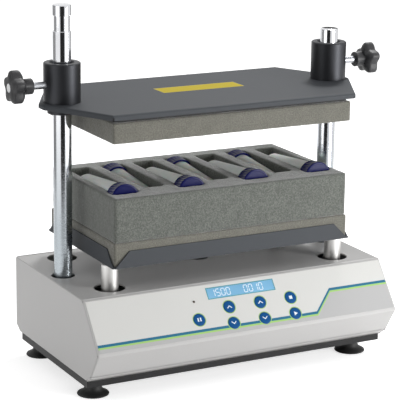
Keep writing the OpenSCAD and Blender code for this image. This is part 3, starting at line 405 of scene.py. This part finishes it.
necked_top = [(tall_r, neck_top - neck - 0.4), (tall_r - 0.4, neck_top - neck), (neck_r, neck_top - neck),
              (neck_r, neck_top), (tall_r - 0.3, neck_top), (tall_r, neck_top + 0.3),
              (tall_r, left_top - 1.0), (tall_r - 0.3, left_top - 0.3), (tall_r - 1.0, left_top),
              (0, left_top)]
for top, node in ((necked_top, "tall_post_left"), (plain_top, "tall_post_right")):
    post = turned(node.replace("post", "column"), [
        (0, deck_height), (tall_r - 0.6, deck_height), (tall_r, deck_height + 0.6)] + top, steps=128)
    post.data.transform(standing(node))
    settle(post, chrome, "carrier", "chromed_steel", node)

# ---------------------------------------------------------------- Tray
# Laser-cut steel sheet with four sides turned up, painted dark blue grey. The cut edges show as a
# thin lighter line.
dark_paint = coat("dark grey textured paint", "#46494d", spread=0.03, roughness=0.6, grain_mm=1.2,
                  depth=0.04, **{"Specular IOR Level": 0.2})
settle(soften(copy_of("tray", "foam_tray"), 0.35), dark_paint, "carrier", "dark_paint", "tray")

# ---------------------------------------------------------------- Foam pads
# Open-cell polyurethane foam, cut with a blade: the faces are flat but slightly uneven, the corners
# soft, and the cells show as a fine speckle. The pads are brownish, the slotted insert greenish.


def foam_finish(name, base, light, dark):
    """Cut open-cell foam: pores about 1 mm across, drawn coarse enough to show, and slow blotches."""
    material, tree, output = new_material(name)
    place = add_node(tree, "ShaderNodeTexCoord").outputs["Object"]
    blotch = add_node(tree, "ShaderNodeTexNoise", links={
        "Vector": place, "Scale": 1 / (14 * mm), "Detail": 3.0, "Roughness": 0.6})
    cells = add_node(tree, "ShaderNodeTexNoise", links={
        "Vector": place, "Scale": 1 / (1.5 * mm), "Detail": 3.0, "Roughness": 0.75})
    pores = add_node(tree, "ShaderNodeTexVoronoi", links={"Vector": place, "Scale": 1 / (1.3 * mm)})
    ramp = add_node(tree, "ShaderNodeValToRGB", links={"Fac": cells.outputs["Fac"]})
    stops = ramp.color_ramp.elements
    stops[0].position, stops[0].color = 0.30, tint(dark)
    stops[1].position, stops[1].color = 0.72, tint(light)
    middle = stops.new(0.50)
    middle.color = tint(base)
    slow = add_node(tree, "ShaderNodeMapRange", links={
        "Value": blotch.outputs["Fac"], "From Min": 0.3, "From Max": 0.7, "To Min": 0.93, "To Max": 1.06})
    shade = add_node(tree, "ShaderNodeMix", {"data_type": "RGBA", "blend_type": "MULTIPLY"}, {
        0: 1.0, 6: ramp.outputs["Color"], 7: slow.outputs[0]})
    bump = add_node(tree, "ShaderNodeBump", links={
        "Height": pores.outputs["Distance"], "Strength": 0.6, "Distance": 0.5 * mm})
    shader = add_node(tree, "ShaderNodeBsdfPrincipled", links={
        "Base Color": shade.outputs[2], "Roughness": 0.95, "Specular IOR Level": 0.2,
        "Sheen Weight": 0.8, "Sheen Roughness": 0.4, "Normal": bump.outputs[0]})
    tree.links.new(shader.outputs[0], output.inputs[0])
    return material


def foam_block(node, name):
    """Cut foam in the space of its solid: edges worn soft and faces a little uneven."""
    piece = copy_of(node, name)
    remesh = piece.modifiers.new("cells", "REMESH")
    remesh.mode = "VOXEL"
    remesh.voxel_size = foam_cell * mm
    bpy.ops.object.modifier_apply(modifier=remesh.name)
    smooth = piece.modifiers.new("worn", "SMOOTH")
    smooth.factor = 0.5
    smooth.iterations = 1
    bpy.ops.object.modifier_apply(modifier=smooth.name)
    uneven = bpy.data.textures.new(f"{name}_cut", "CLOUDS")
    uneven.noise_scale = 9 * mm
    displace = piece.modifiers.new("cut", "DISPLACE")
    displace.texture = uneven
    displace.texture_coords = "LOCAL"
    displace.strength = 0.5 * mm
    displace.mid_level = 0.5
    bpy.ops.object.modifier_apply(modifier=displace.name)
    bpy.ops.object.shade_smooth()
    return piece


pad_foam = foam_finish("brown grey open-cell foam", "#76756d", "#8c8a81", "#5f5e57")
insert_foam = foam_finish("green grey open-cell foam", "#6b6e69", "#878a84", "#545752")
# The plate presses the top edge of the upper foam down a little, most at the very top.
pressed, pressed_depth = 1.5, 12.0
foam_cell = 1.6
for node, name, finish, body in (("base_pad", "lower_foam", pad_foam, "carrier"),
                                 ("tube_insert", "slotted_foam", insert_foam, "carrier"),
                                 ("top_pad", "upper_foam", pad_foam, "clamp")):
    foam = foam_block(node, name)
    if node == "top_pad":
        for vertex in foam.data.vertices:
            share = 1 + (vertex.co.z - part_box(node)[1].z) / (pressed_depth * mm)
            vertex.co.z -= max(0, share) * pressed * mm
    settle(foam, finish, body, "insert_foam" if node == "tube_insert" else "pad_foam", node)

# ---------------------------------------------------------------- Tubes and caps
# Seven 50 ml tubes of translucent polypropylene with cone ends, and navy screw caps with a ribbed
# skirt. They lie alternately in the slots, cap end a little higher.
tube_count, tube_pitch, slot_length = 7, 40.0, 126.0
tube_r, tube_length, cone, tube_wall = 14.25, 115.0, 15.0, 1.2
cap_r, cap_length, cap_drops, tube_tilt = 16.5, 16.0, (7.0, 13.0), 5.0
mouth, cap_clear, cap_top, cap_fit = 2.0, 2.0, 1.7, 0.05
insert_top = 215.4
polypropylene, tree, output = new_material("translucent polypropylene")
place = add_node(tree, "ShaderNodeTexCoord").outputs["Object"]
milky = add_node(tree, "ShaderNodeTexNoise", links={"Vector": place, "Scale": 1 / (12 * mm), "Detail": 2.0})
shade = add_node(tree, "ShaderNodeMix", {"data_type": "RGBA"}, {
    0: milky.outputs["Fac"], 6: tint("#dfe1dc"), 7: tint("#eef0ec")})
shader = add_node(tree, "ShaderNodeBsdfPrincipled", links={
    "Base Color": shade.outputs[2], "Roughness": 0.45, "IOR": 1.49,
    "Subsurface Weight": 0.35, "Subsurface Scale": 4 * mm})
tree.links.new(shader.outputs[0], output.inputs[0])
navy = coat("navy moulded polyethylene", "#080e52", spread=0.04, roughness=0.26, grain_mm=0.9, depth=0.01,
            **{"Specular IOR Level": 0.12})

tube_section = [(0, tube_length - tube_wall), (3 - tube_wall / 2, tube_length - tube_wall),
                (tube_r - tube_wall, tube_length - cone), (tube_r - tube_wall, mouth), (tube_r, mouth),
                (tube_r, tube_length - cone), (3.6, tube_length - 0.8), (3, tube_length),
                (0, tube_length)]
cap_rib_count, cap_rib, rib_start, rib_end = 30, 0.6, 2.0, 1.0


def flute(piece, count, depth, radius, low, high, inner, first=0.0):
    """Presses equal flutes in a turned piece between two heights, with the first crest at an angle."""
    for vertex in piece.data.vertices:
        reach = math.hypot(vertex.co.x, vertex.co.y)
        if reach > inner * mm and low * mm < vertex.co.z < high * mm:
            turn = math.atan2(vertex.co.y, vertex.co.x) - first
            shrink = 1 - depth / radius * (0.5 - 0.5 * math.cos(count * turn))
            vertex.co.x *= shrink
            vertex.co.y *= shrink


cap_section = [(0, 0.35), (cap_r - 2.4, 0.35), (cap_r - 2.0, 0), (cap_r - 0.9, 0), (cap_r - 0.2, 0.35),
               (cap_r, 1.2), (cap_r, 2.6), (cap_r, cap_length - 1.4), (cap_r, cap_length - 0.3),
               (cap_r - 0.3, cap_length), (tube_r + cap_fit, cap_length), (tube_r + cap_fit, cap_top),
               (0, cap_top)]
for count in range(tube_count):
    along = (count - (tube_count - 1) / 2) * tube_pitch
    lie = (standing("tray") @ Matrix.Translation((along * mm, 0, (insert_top - cap_drops[count % 2]) * mm))
           @ Matrix.Rotation(math.pi * (count % 2), 4, "Z")
           @ Matrix.Translation((0, (cap_clear - slot_length / 2) * mm, 0))
           @ Matrix.Rotation(math.radians(-90 - tube_tilt), 4, "X"))
    tube = turned(f"tube_{count + 1}", tube_section, steps=64)
    tube.data.transform(lie)
    settle(tube, polypropylene, "carrier", "clear_polypropylene", *(["tubes"] if count == 0 else []))
    cap = turned(f"tube_cap_{count + 1}", cap_section, steps=8 * cap_rib_count)
    flute(cap, cap_rib_count, cap_rib, cap_r, rib_start, cap_length - rib_end, cap_r - 0.1)
    cap.data.transform(lie)
    settle(cap, navy, "carrier", "navy_polyethylene", *(["tube_caps"] if count == 0 else []))

# ---------------------------------------------------------------- Clamp plate
# A folded steel plate with a short lip all round, painted like the tray, its lips slit where they
# meet. A blank yellow label of printed film is stuck on top, with a thin darker outline.
plate = soften(copy_of("clamp_plate", "clamp_sheet"), 0.5)
settle(plate, dark_paint, "clamp", "dark_paint", "clamp_plate")


def flat_patch(name, outline, material, place, body="base", slot="polyester_film", faces=None):
    """Printed film or ink, a hair thick: an outline in millimetres on the plane of the place."""
    clear_selection()
    mesh = bpy.data.meshes.new(name)
    mesh.from_pydata([(x * mm, y * mm, 0) for x, y in outline], [], faces or [list(range(len(outline)))])
    piece = bpy.data.objects.new(name, mesh)
    scene.collection.objects.link(piece)
    piece.select_set(True)
    bpy.context.view_layer.objects.active = piece
    bpy.ops.object.mode_set(mode="EDIT")
    bpy.ops.mesh.select_all(action="SELECT")
    bpy.ops.mesh.normals_make_consistent(inside=False)
    bpy.ops.object.mode_set(mode="OBJECT")
    if mesh.polygons[0].normal.z < 0:
        mesh.flip_normals()
    mesh.transform(place)
    return settle(piece, material, body, slot)


def rectangle(width, height):
    """The corners of a rectangle about the origin, in millimetres."""
    return [(-width / 2, -height / 2), (width / 2, -height / 2), (width / 2, height / 2),
            (-width / 2, height / 2)]


label_width, label_height, label_edge = 101.0, 27.0, 0.8
label_x, label_y = 5.5, 12.5
outline_lift, field_lift = 0.06, 0.09
plate_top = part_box("clamp_plate")[1].z
yellow = coat("yellow printed film", "#ccb612", spread=0.01, roughness=0.45, grain_mm=0.8, depth=0.006,
              **{"Specular IOR Level": 0.05})
ochre = coat("ochre print", "#b3a63c", spread=0.01, roughness=0.45, grain_mm=0.8, depth=0.006)
for name, inset, ink, height in (("label_outline", 0, ochre, outline_lift),
                                 ("label_field", label_edge, yellow, field_lift)):
    flat_patch(name, rectangle(label_width - 2 * inset, label_height - 2 * inset), ink,
               Matrix.Translation((label_x * mm, label_y * mm, plate_top + height * mm)), "clamp")

# ---------------------------------------------------------------- Backing board
# A black composite board screwed up against the plate, to which the upper foam is glued. It is
# stretched almost to the edge of the foam and its underside lowered into the gap under the lip, so
# that it shows there as a thin dark line: painted shadow, a dark sheet set where the gap is only in shade.
shade_line_inset, shade_line_drop = 2.2, 1.2
black_board = coat("black composite board", "#1b1b1b", roughness=0.7, grain_mm=1.0)
board = copy_of("backing_board", "foam_board")
board_low, board_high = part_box("backing_board")
# Painted shadow: the board is stretched out beyond its own size, nearly to the edge of the foam.
for axis in (0, 1):
    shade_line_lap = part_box("top_pad")[1][axis] - board_high[axis] - shade_line_inset * mm
    for vertex in board.data.vertices:
        vertex.co[axis] += math.copysign(shade_line_lap, vertex.co[axis] - (board_low[axis] + board_high[axis]) / 2)
# Painted shadow: the board's underside is lowered into the shaded gap between the lip and the foam.
for vertex in board.data.vertices:
    if vertex.co.z < (board_low.z + board_high.z) / 2:
        vertex.co.z -= shade_line_drop * mm
settle(soften(board, 0.4), black_board, "clamp", "black_board", "backing_board")

# ---------------------------------------------------------------- Collars
# Turned aluminium collars, black anodised, with a pale nylon liner that slides on the post, and a
# ring nut below the plate.
anodised, tree, output = new_material("satin black anodised aluminium")
place = add_node(tree, "ShaderNodeTexCoord").outputs["Object"]
turn_marks = add_node(tree, "ShaderNodeMapping", links={
    "Vector": place, "Scale": (1 / (60 * mm), 1 / (60 * mm), 1 / (0.8 * mm))})
lines = add_node(tree, "ShaderNodeTexNoise", links={
    "Vector": turn_marks.outputs[0], "Scale": 1.0, "Detail": 3.0})
rough = add_node(tree, "ShaderNodeMapRange", links={
    "Value": lines.outputs["Fac"], "To Min": 0.36, "To Max": 0.50})
shader = add_node(tree, "ShaderNodeBsdfPrincipled", links={
    "Base Color": tint("#38393c"), "Metallic": 0.9, "Roughness": rough.outputs[0]})
tree.links.new(shader.outputs[0], output.inputs[0])
for node in ("collar_left", "collar_right", "collar_nuts"):
    settle(soften(copy_of(node, f"{node}_turned"), 0.5), anodised, "clamp", "black_anodised", node)
nylon = coat("natural nylon", "#d9d6cd", roughness=0.5, grain_mm=0.8)
settle(soften(copy_of("collar_liners", "liner_sleeves"), 0.2), nylon, "clamp", "nylon", "collar_liners")

# ---------------------------------------------------------------- Star knobs and clamp screws
# Five-lobed phenolic knobs moulded on the clamp screws: a round hub, a tapered back and a thick star
# with the end of the metal insert in its face. Each screw presses a brass tip on its post.
hub_r, hub_length, star_r, star_length = 8.5, 10.0, 18.5, 16.0
bore_r, insert_r, insert_length = 4.1, 5.1, 4.2
lobe_count, valley = 5, 4.8
star_back, star_face = hub_length, hub_length + star_length
knob_section = [(bore_r, 0), (hub_r - 0.5, 0), (hub_r, 0.5), (hub_r, star_back - 0.8),
                (hub_r + 0.7, star_back + 0.2), (0.73 * star_r, star_back + 1.3),
                (0.93 * star_r, star_back + 3.6), (0.985 * star_r, star_back + 4.8),
                (star_r, star_back + 6.0), (star_r, star_face - 3.4), (0.985 * star_r, star_face - 2.3),
                (0.94 * star_r, star_face - 1.4), (0.84 * star_r, star_face - 0.7),
                (0.6 * star_r, star_face - 0.1), (insert_r + 1.3, star_face), (insert_r, star_face - 0.1),
                (insert_r, star_face - insert_length), (bore_r, star_face - insert_length), (bore_r, 0)]
phenolic = coat("black phenolic moulding", "#28282a", spread=0.05, roughness=0.5, grain_mm=0.7, depth=0.02)
brass = coat("turned brass", "#b08d4c", roughness=0.3, Metallic=1.0)
faced = coat("bright faced steel", "#eceded", spread=0.01, roughness=0.55, grain_mm=0.8, Metallic=1.0)
for side, word in ((-1, "left"), (1, "right")):
    screw_low, screw_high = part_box(f"screw_{word}")
    knob_low, knob_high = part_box(f"knob_{word}")
    inner_end = (knob_high.x if side < 0 else knob_low.x, (screw_low.y + screw_high.y) / 2,
                 (screw_low.z + screw_high.z) / 2)
    knob = turned(f"star_knob_{word}", knob_section, steps=160)
    flute(knob, lobe_count, valley, star_r, star_back, star_face, hub_r, first=0 if side < 0 else math.pi)
    knob.data.transform(Matrix.Translation(inner_end) @ Matrix.Rotation(side * math.pi / 2, 4, "Y"))
    settle(knob, phenolic, f"{word}_knob", "phenolic", f"knob_{word}")
    screw = soften(copy_of(f"screw_{word}", f"clamp_screw_{word}"), 0.3)
    settle(screw, zinc, f"{word}_knob", "zinc_steel", f"screw_{word}")
    outer_end = (screw_low.x if side < 0 else screw_high.x, inner_end[1], inner_end[2])
    face = turned(f"insert_face_{word}", [(0, 0.06), (insert_r - 0.5, 0.06)], steps=48)
    face.data.transform(Matrix.Translation(outer_end) @ Matrix.Rotation(side * math.pi / 2, 4, "Y"))
    settle(face, faced, f"{word}_knob", "zinc_steel")
    tip = soften(copy_of(f"tip_{word}", f"screw_tip_{word}"), 0.4)
    settle(tip, brass, f"{word}_tip", "brass", f"tip_{word}")

# ---------------------------------------------------------------- Panel film
# A printed polyester film on the sloped face: pale grey above, a darker field below, and a blue and
# a green line between them. The print has no words.
crease_y, crease_z, nose_y, nose_z = -92.0, 114.0, -131.0, 64.0
slope = Vector((0, nose_y - crease_y, nose_z - crease_z))
slope_length = slope.length
panel_tilt = math.atan2(crease_z - nose_z, crease_y - nose_y)
on_panel = (Matrix.Translation((0, crease_y * mm, crease_z * mm)) @ Matrix.Rotation(panel_tilt, 4, "X"))
film = coat("pale grey printed polyester film", "#d9d9d6", spread=0.006, roughness=0.38, grain_mm=0.6,
            depth=0.008)
settle(soften(copy_of("panel_overlay", "panel_film"), 0.12), film, "base", "polyester_film",
       "panel_overlay")
film_top, field_print, line_print, rim_print = 0.4, 0.03, 0.05, 0.06


def print_patch(name, outline, material, height, *kind, **faces):
    """Ink on the panel: millimetres across and down the slope, at a height over the sheet metal."""
    return flat_patch(name, [(x, -row) for x, row in outline], material,
                      on_panel @ Matrix.Translation((0, 0, height * mm)), *kind, **faces)


film_edge = 2.5
film_half = cover_end - film_edge
film_low = slope_length - film_edge
field_row, field_high_row, field_turn_x, field_rise_x = 51.5, 27.0, 84.0, 108.0
line_width, green_width = 3.0, 2.0


def border(row_shift, reverse=False):
    """The line between the two fields: level, then up at a slant, then level again."""
    points = [(-film_half, field_row + row_shift), (field_turn_x, field_row + row_shift),
              (field_rise_x, field_high_row + row_shift), (film_half, field_high_row + row_shift)]
    return points[::-1] if reverse else points


grey_ink = coat("darker grey print", "#b9b9b9", spread=0.006, roughness=0.4, grain_mm=0.6, depth=0.008)
blue_ink = coat("blue print", "#0f6a8c", spread=0.01, roughness=0.4, grain_mm=0.6, depth=0.008)
green_ink = coat("green print", "#a3cf74", spread=0.01, roughness=0.4, grain_mm=0.6, depth=0.008)
print_patch("print_field", border(0) + [(film_half, film_low), (-film_half, film_low)], grey_ink,
            film_top + field_print)
print_patch("print_blue_line", border(0) + border(line_width, True), blue_ink,
            film_top + line_print)
print_patch("print_green_line", border(line_width) + border(line_width + green_width, True), green_ink,
            film_top + line_print)

# ---------------------------------------------------------------- Display
# A lit blue liquid crystal display behind a clear window with a thin blue-green border, with two
# groups of plain seven-segment digits.
window_width, window_height, window_row = 82.0, 11.5, 13.0
backlight, tree, output = new_material("lit blue liquid crystal")
place = add_node(tree, "ShaderNodeTexCoord").outputs["Object"]
uneven = add_node(tree, "ShaderNodeTexNoise", links={"Vector": place, "Scale": 1 / (30 * mm), "Detail": 1.0})
shade = add_node(tree, "ShaderNodeMix", {"data_type": "RGBA"}, {
    0: uneven.outputs["Fac"], 6: tint("#5b93b8"), 7: tint("#7db2d2")})
shader = add_node(tree, "ShaderNodeBsdfPrincipled", links={
    "Base Color": shade.outputs[2], "Roughness": 0.25, "Emission Color": shade.outputs[2],
    "Emission Strength": 0.25})
tree.links.new(shader.outputs[0], output.inputs[0])
settle(soften(copy_of("display_window", "display_glass"), 0.2), backlight, "base", "clear_window",
       "display_window")
rim_ink = coat("blue green print", "#4f9aa6", spread=0.01, roughness=0.4, grain_mm=0.6, depth=0.008)
rim_width = 1.0
print_patch("print_display_rim", [(x, window_row + y) for grow in (0, 2 * rim_width) for x, y in
                                  rectangle(window_width + grow, window_height + grow)],
            rim_ink, film_top + rim_print, faces=[(i, (i + 1) % 4, (i + 1) % 4 + 4, i + 4) for i in range(4)])
segment_ink = coat("pale lit segments", "#dff0fb", spread=0.01, roughness=0.3, grain_mm=1.0, depth=0.004)
digit_height, digit_width, digit_pitch, segment_width = 8.0, 4.2, 6.3, 1.0
lit = {"0": "abcdef", "1": "bc", "2": "abdeg", "3": "abcdg", "4": "bcfg", "5": "acdfg",
       "6": "acdefg", "7": "abc", "8": "abcdefg", "9": "abcdfg"}


def bar(x, row, length, upright):
    """One pointed segment, centred on its place."""
    half, tip = length / 2 - 0.15, segment_width / 2
    points = [(-half, 0), (-half + tip, tip), (half - tip, tip), (half, 0), (half - tip, -tip),
              (-half + tip, -tip)]
    return [(x + (b if upright else a), row + (a if upright else b)) for a, b in points]


def segments(digit, left, row):
    """The outlines of a digit's lit segments."""
    half, quarter = digit_width / 2, digit_height / 4
    places = {"a": (half, -2 * quarter, False), "g": (half, 0, False), "d": (half, 2 * quarter, False),
              "f": (0, -quarter, True), "b": (digit_width, -quarter, True),
              "e": (0, quarter, True), "c": (digit_width, quarter, True)}
    return [bar(left + x, row + y, digit_height / 2 if upright else digit_width, upright)
            for name, (x, y, upright) in places.items() if name in lit[digit]]


window_top = film_top + line_print
for word, digits, start in (("speed", "1500", -36.5), ("time", "0010", 4.0)):
    for count, digit in enumerate(digits):
        for part, outline in enumerate(segments(digit, start + count * digit_pitch, window_row)):
            print_patch(f"digit_{word}_{count}_{part}", outline, segment_ink, window_top)

# ---------------------------------------------------------------- Keys
# Seven round silicone keys, blue with a thin green rim printed round them on the film. Their
# symbols are plain white marks: arrows for more and less, a square, a triangle and two bars.
key_r, key_proud = 6.9, 0.9
keys = {"key_mode": (-59.5, 40.5, "bars"), "key_speed_up": (-20.0, 31.0, "up"),
        "key_speed_down": (-20.0, 50.0, "down"), "key_time_up": (18.5, 31.0, "up"),
        "key_time_down": (18.5, 50.0, "down"), "key_stop": (57.0, 31.0, "square"),
        "key_start": (57.0, 50.0, "triangle")}
key_blue = coat("blue silicone", "#004e8a", spread=0.03, roughness=0.42, grain_mm=0.7, depth=0.01,
                **{"Specular IOR Level": 0.2})
white_ink = coat("white print", "#e8f1f6", spread=0.01, roughness=0.45, grain_mm=0.7, depth=0.005)
chevron = [(-3.1, 1.3), (0, -1.5), (3.1, 1.3), (2.5, 2.1), (0, -0.2), (-2.5, 2.1)]
marks = {"up": [chevron], "down": [[(x, -y) for x, y in chevron]],
         "square": [[(-1.9, -1.9), (1.9, -1.9), (1.9, 1.9), (-1.9, 1.9)]],
         "triangle": [[(-1.6, -2.4), (2.6, 0), (-1.6, 2.4)]],
         "bars": [[(-2.3, -2.1), (-0.7, -2.1), (-0.7, 2.1), (-2.3, 2.1)],
                  [(0.7, -2.1), (2.3, -2.1), (2.3, 2.1), (0.7, 2.1)]]}
flange_r, flange_top, flange_low = key_r + 1.2, -1.8, -2.9
stem_r, stem_end = 2.0, -6.3
key_section = [(0, key_proud + 0.02), (key_r - 1.6, key_proud), (key_r - 0.7, key_proud - 0.08),
               (key_r - 0.2, key_proud - 0.35), (key_r, key_proud - 0.8), (key_r, flange_top),
               (flange_r, flange_top), (flange_r, flange_low), (stem_r, flange_low),
               (stem_r, stem_end), (0, stem_end)]
ring_inner, ring_outer = key_r + 0.25, key_r + 0.95
ring_low, ring_high = film_top + 0.02, film_top + 0.09
for node, (x, row, mark) in keys.items():
    cap = turned(f"{node}_cap", key_section, steps=64)
    cap.data.transform(on_panel @ Matrix.Translation((x * mm, -row * mm, 0)))
    settle(cap, key_blue, node, "key_silicone", node)
    for count, outline in enumerate(marks[mark]):
        print_patch(f"{node}_mark_{count}", [(x + a, row + b) for a, b in outline], white_ink,
                    key_proud + line_print, node, "key_silicone")
    rim = turned(f"{node}_rim", [(ring_inner, ring_low), (ring_inner, ring_high), (ring_outer, ring_high),
                                 (ring_outer, ring_low), (ring_inner, ring_low)], steps=64)
    rim.data.transform(on_panel @ Matrix.Translation((x * mm, -row * mm, 0)))
    settle(rim, green_ink, "base", "polyester_film")

# ---------------------------------------------------------------- Lamp, rear fittings and inner parts
# The mode lamp, the nylon mains inlet, fuse drawer and switch, and the working parts under the cover
# keep their own meshes and take a finish of their kind.
amber = coat("unlit amber lens", "#3a2a18", roughness=0.2, grain_mm=1.0, depth=0.002)
black_nylon = coat("black moulded nylon", "#1a1a1a", roughness=0.45, grain_mm=0.7)
milled = coat("milled aluminium", "#b4b6b8", roughness=0.4, grain_mm=0.6, Metallic=1.0)
motor_coat = coat("grey motor enamel", "#55585c", roughness=0.45)
solder_mask = coat("green solder mask", "#2a5f38", roughness=0.35, grain_mm=3.0)
lcd_case = coat("display case", "#31506e", roughness=0.4)
for finish, slot_name, names in (
        (amber, "lamp", ["status_led"]),
        (black_nylon, "black_nylon", ["mains_inlet", "fuse_drawer", "switch_housing", "rocker"]),
        (milled, "cast_aluminium", ["drive_plate"]),
        (milled, "deck_steel", ["drive_deck"]),
        (zinc, "zinc_steel", ["deck_pillars", "board_nuts"]),
        (zinc, "bearing_steel", ["carrier_bearings", "deck_bearings", "crank_shaft",
                                 "idler_crank_left", "idler_crank_right"]),
        (brass, "brass", ["counterweight"]),
        (motor_coat, "motor_paint", ["drive_motor"]),
        (solder_mask, "circuit_board", ["control_board", "power_supply", "motor_driver"]),
        (lcd_case, "lcd", ["display_module"])):
    for node in names:
        body = next(b for b, nodes in frame["record"]["behaviour"]["bodies"].items() if node in nodes)
        settle(soften(copy_of(node, f"{node}_finished"), 0.2), finish, body, slot_name, node)
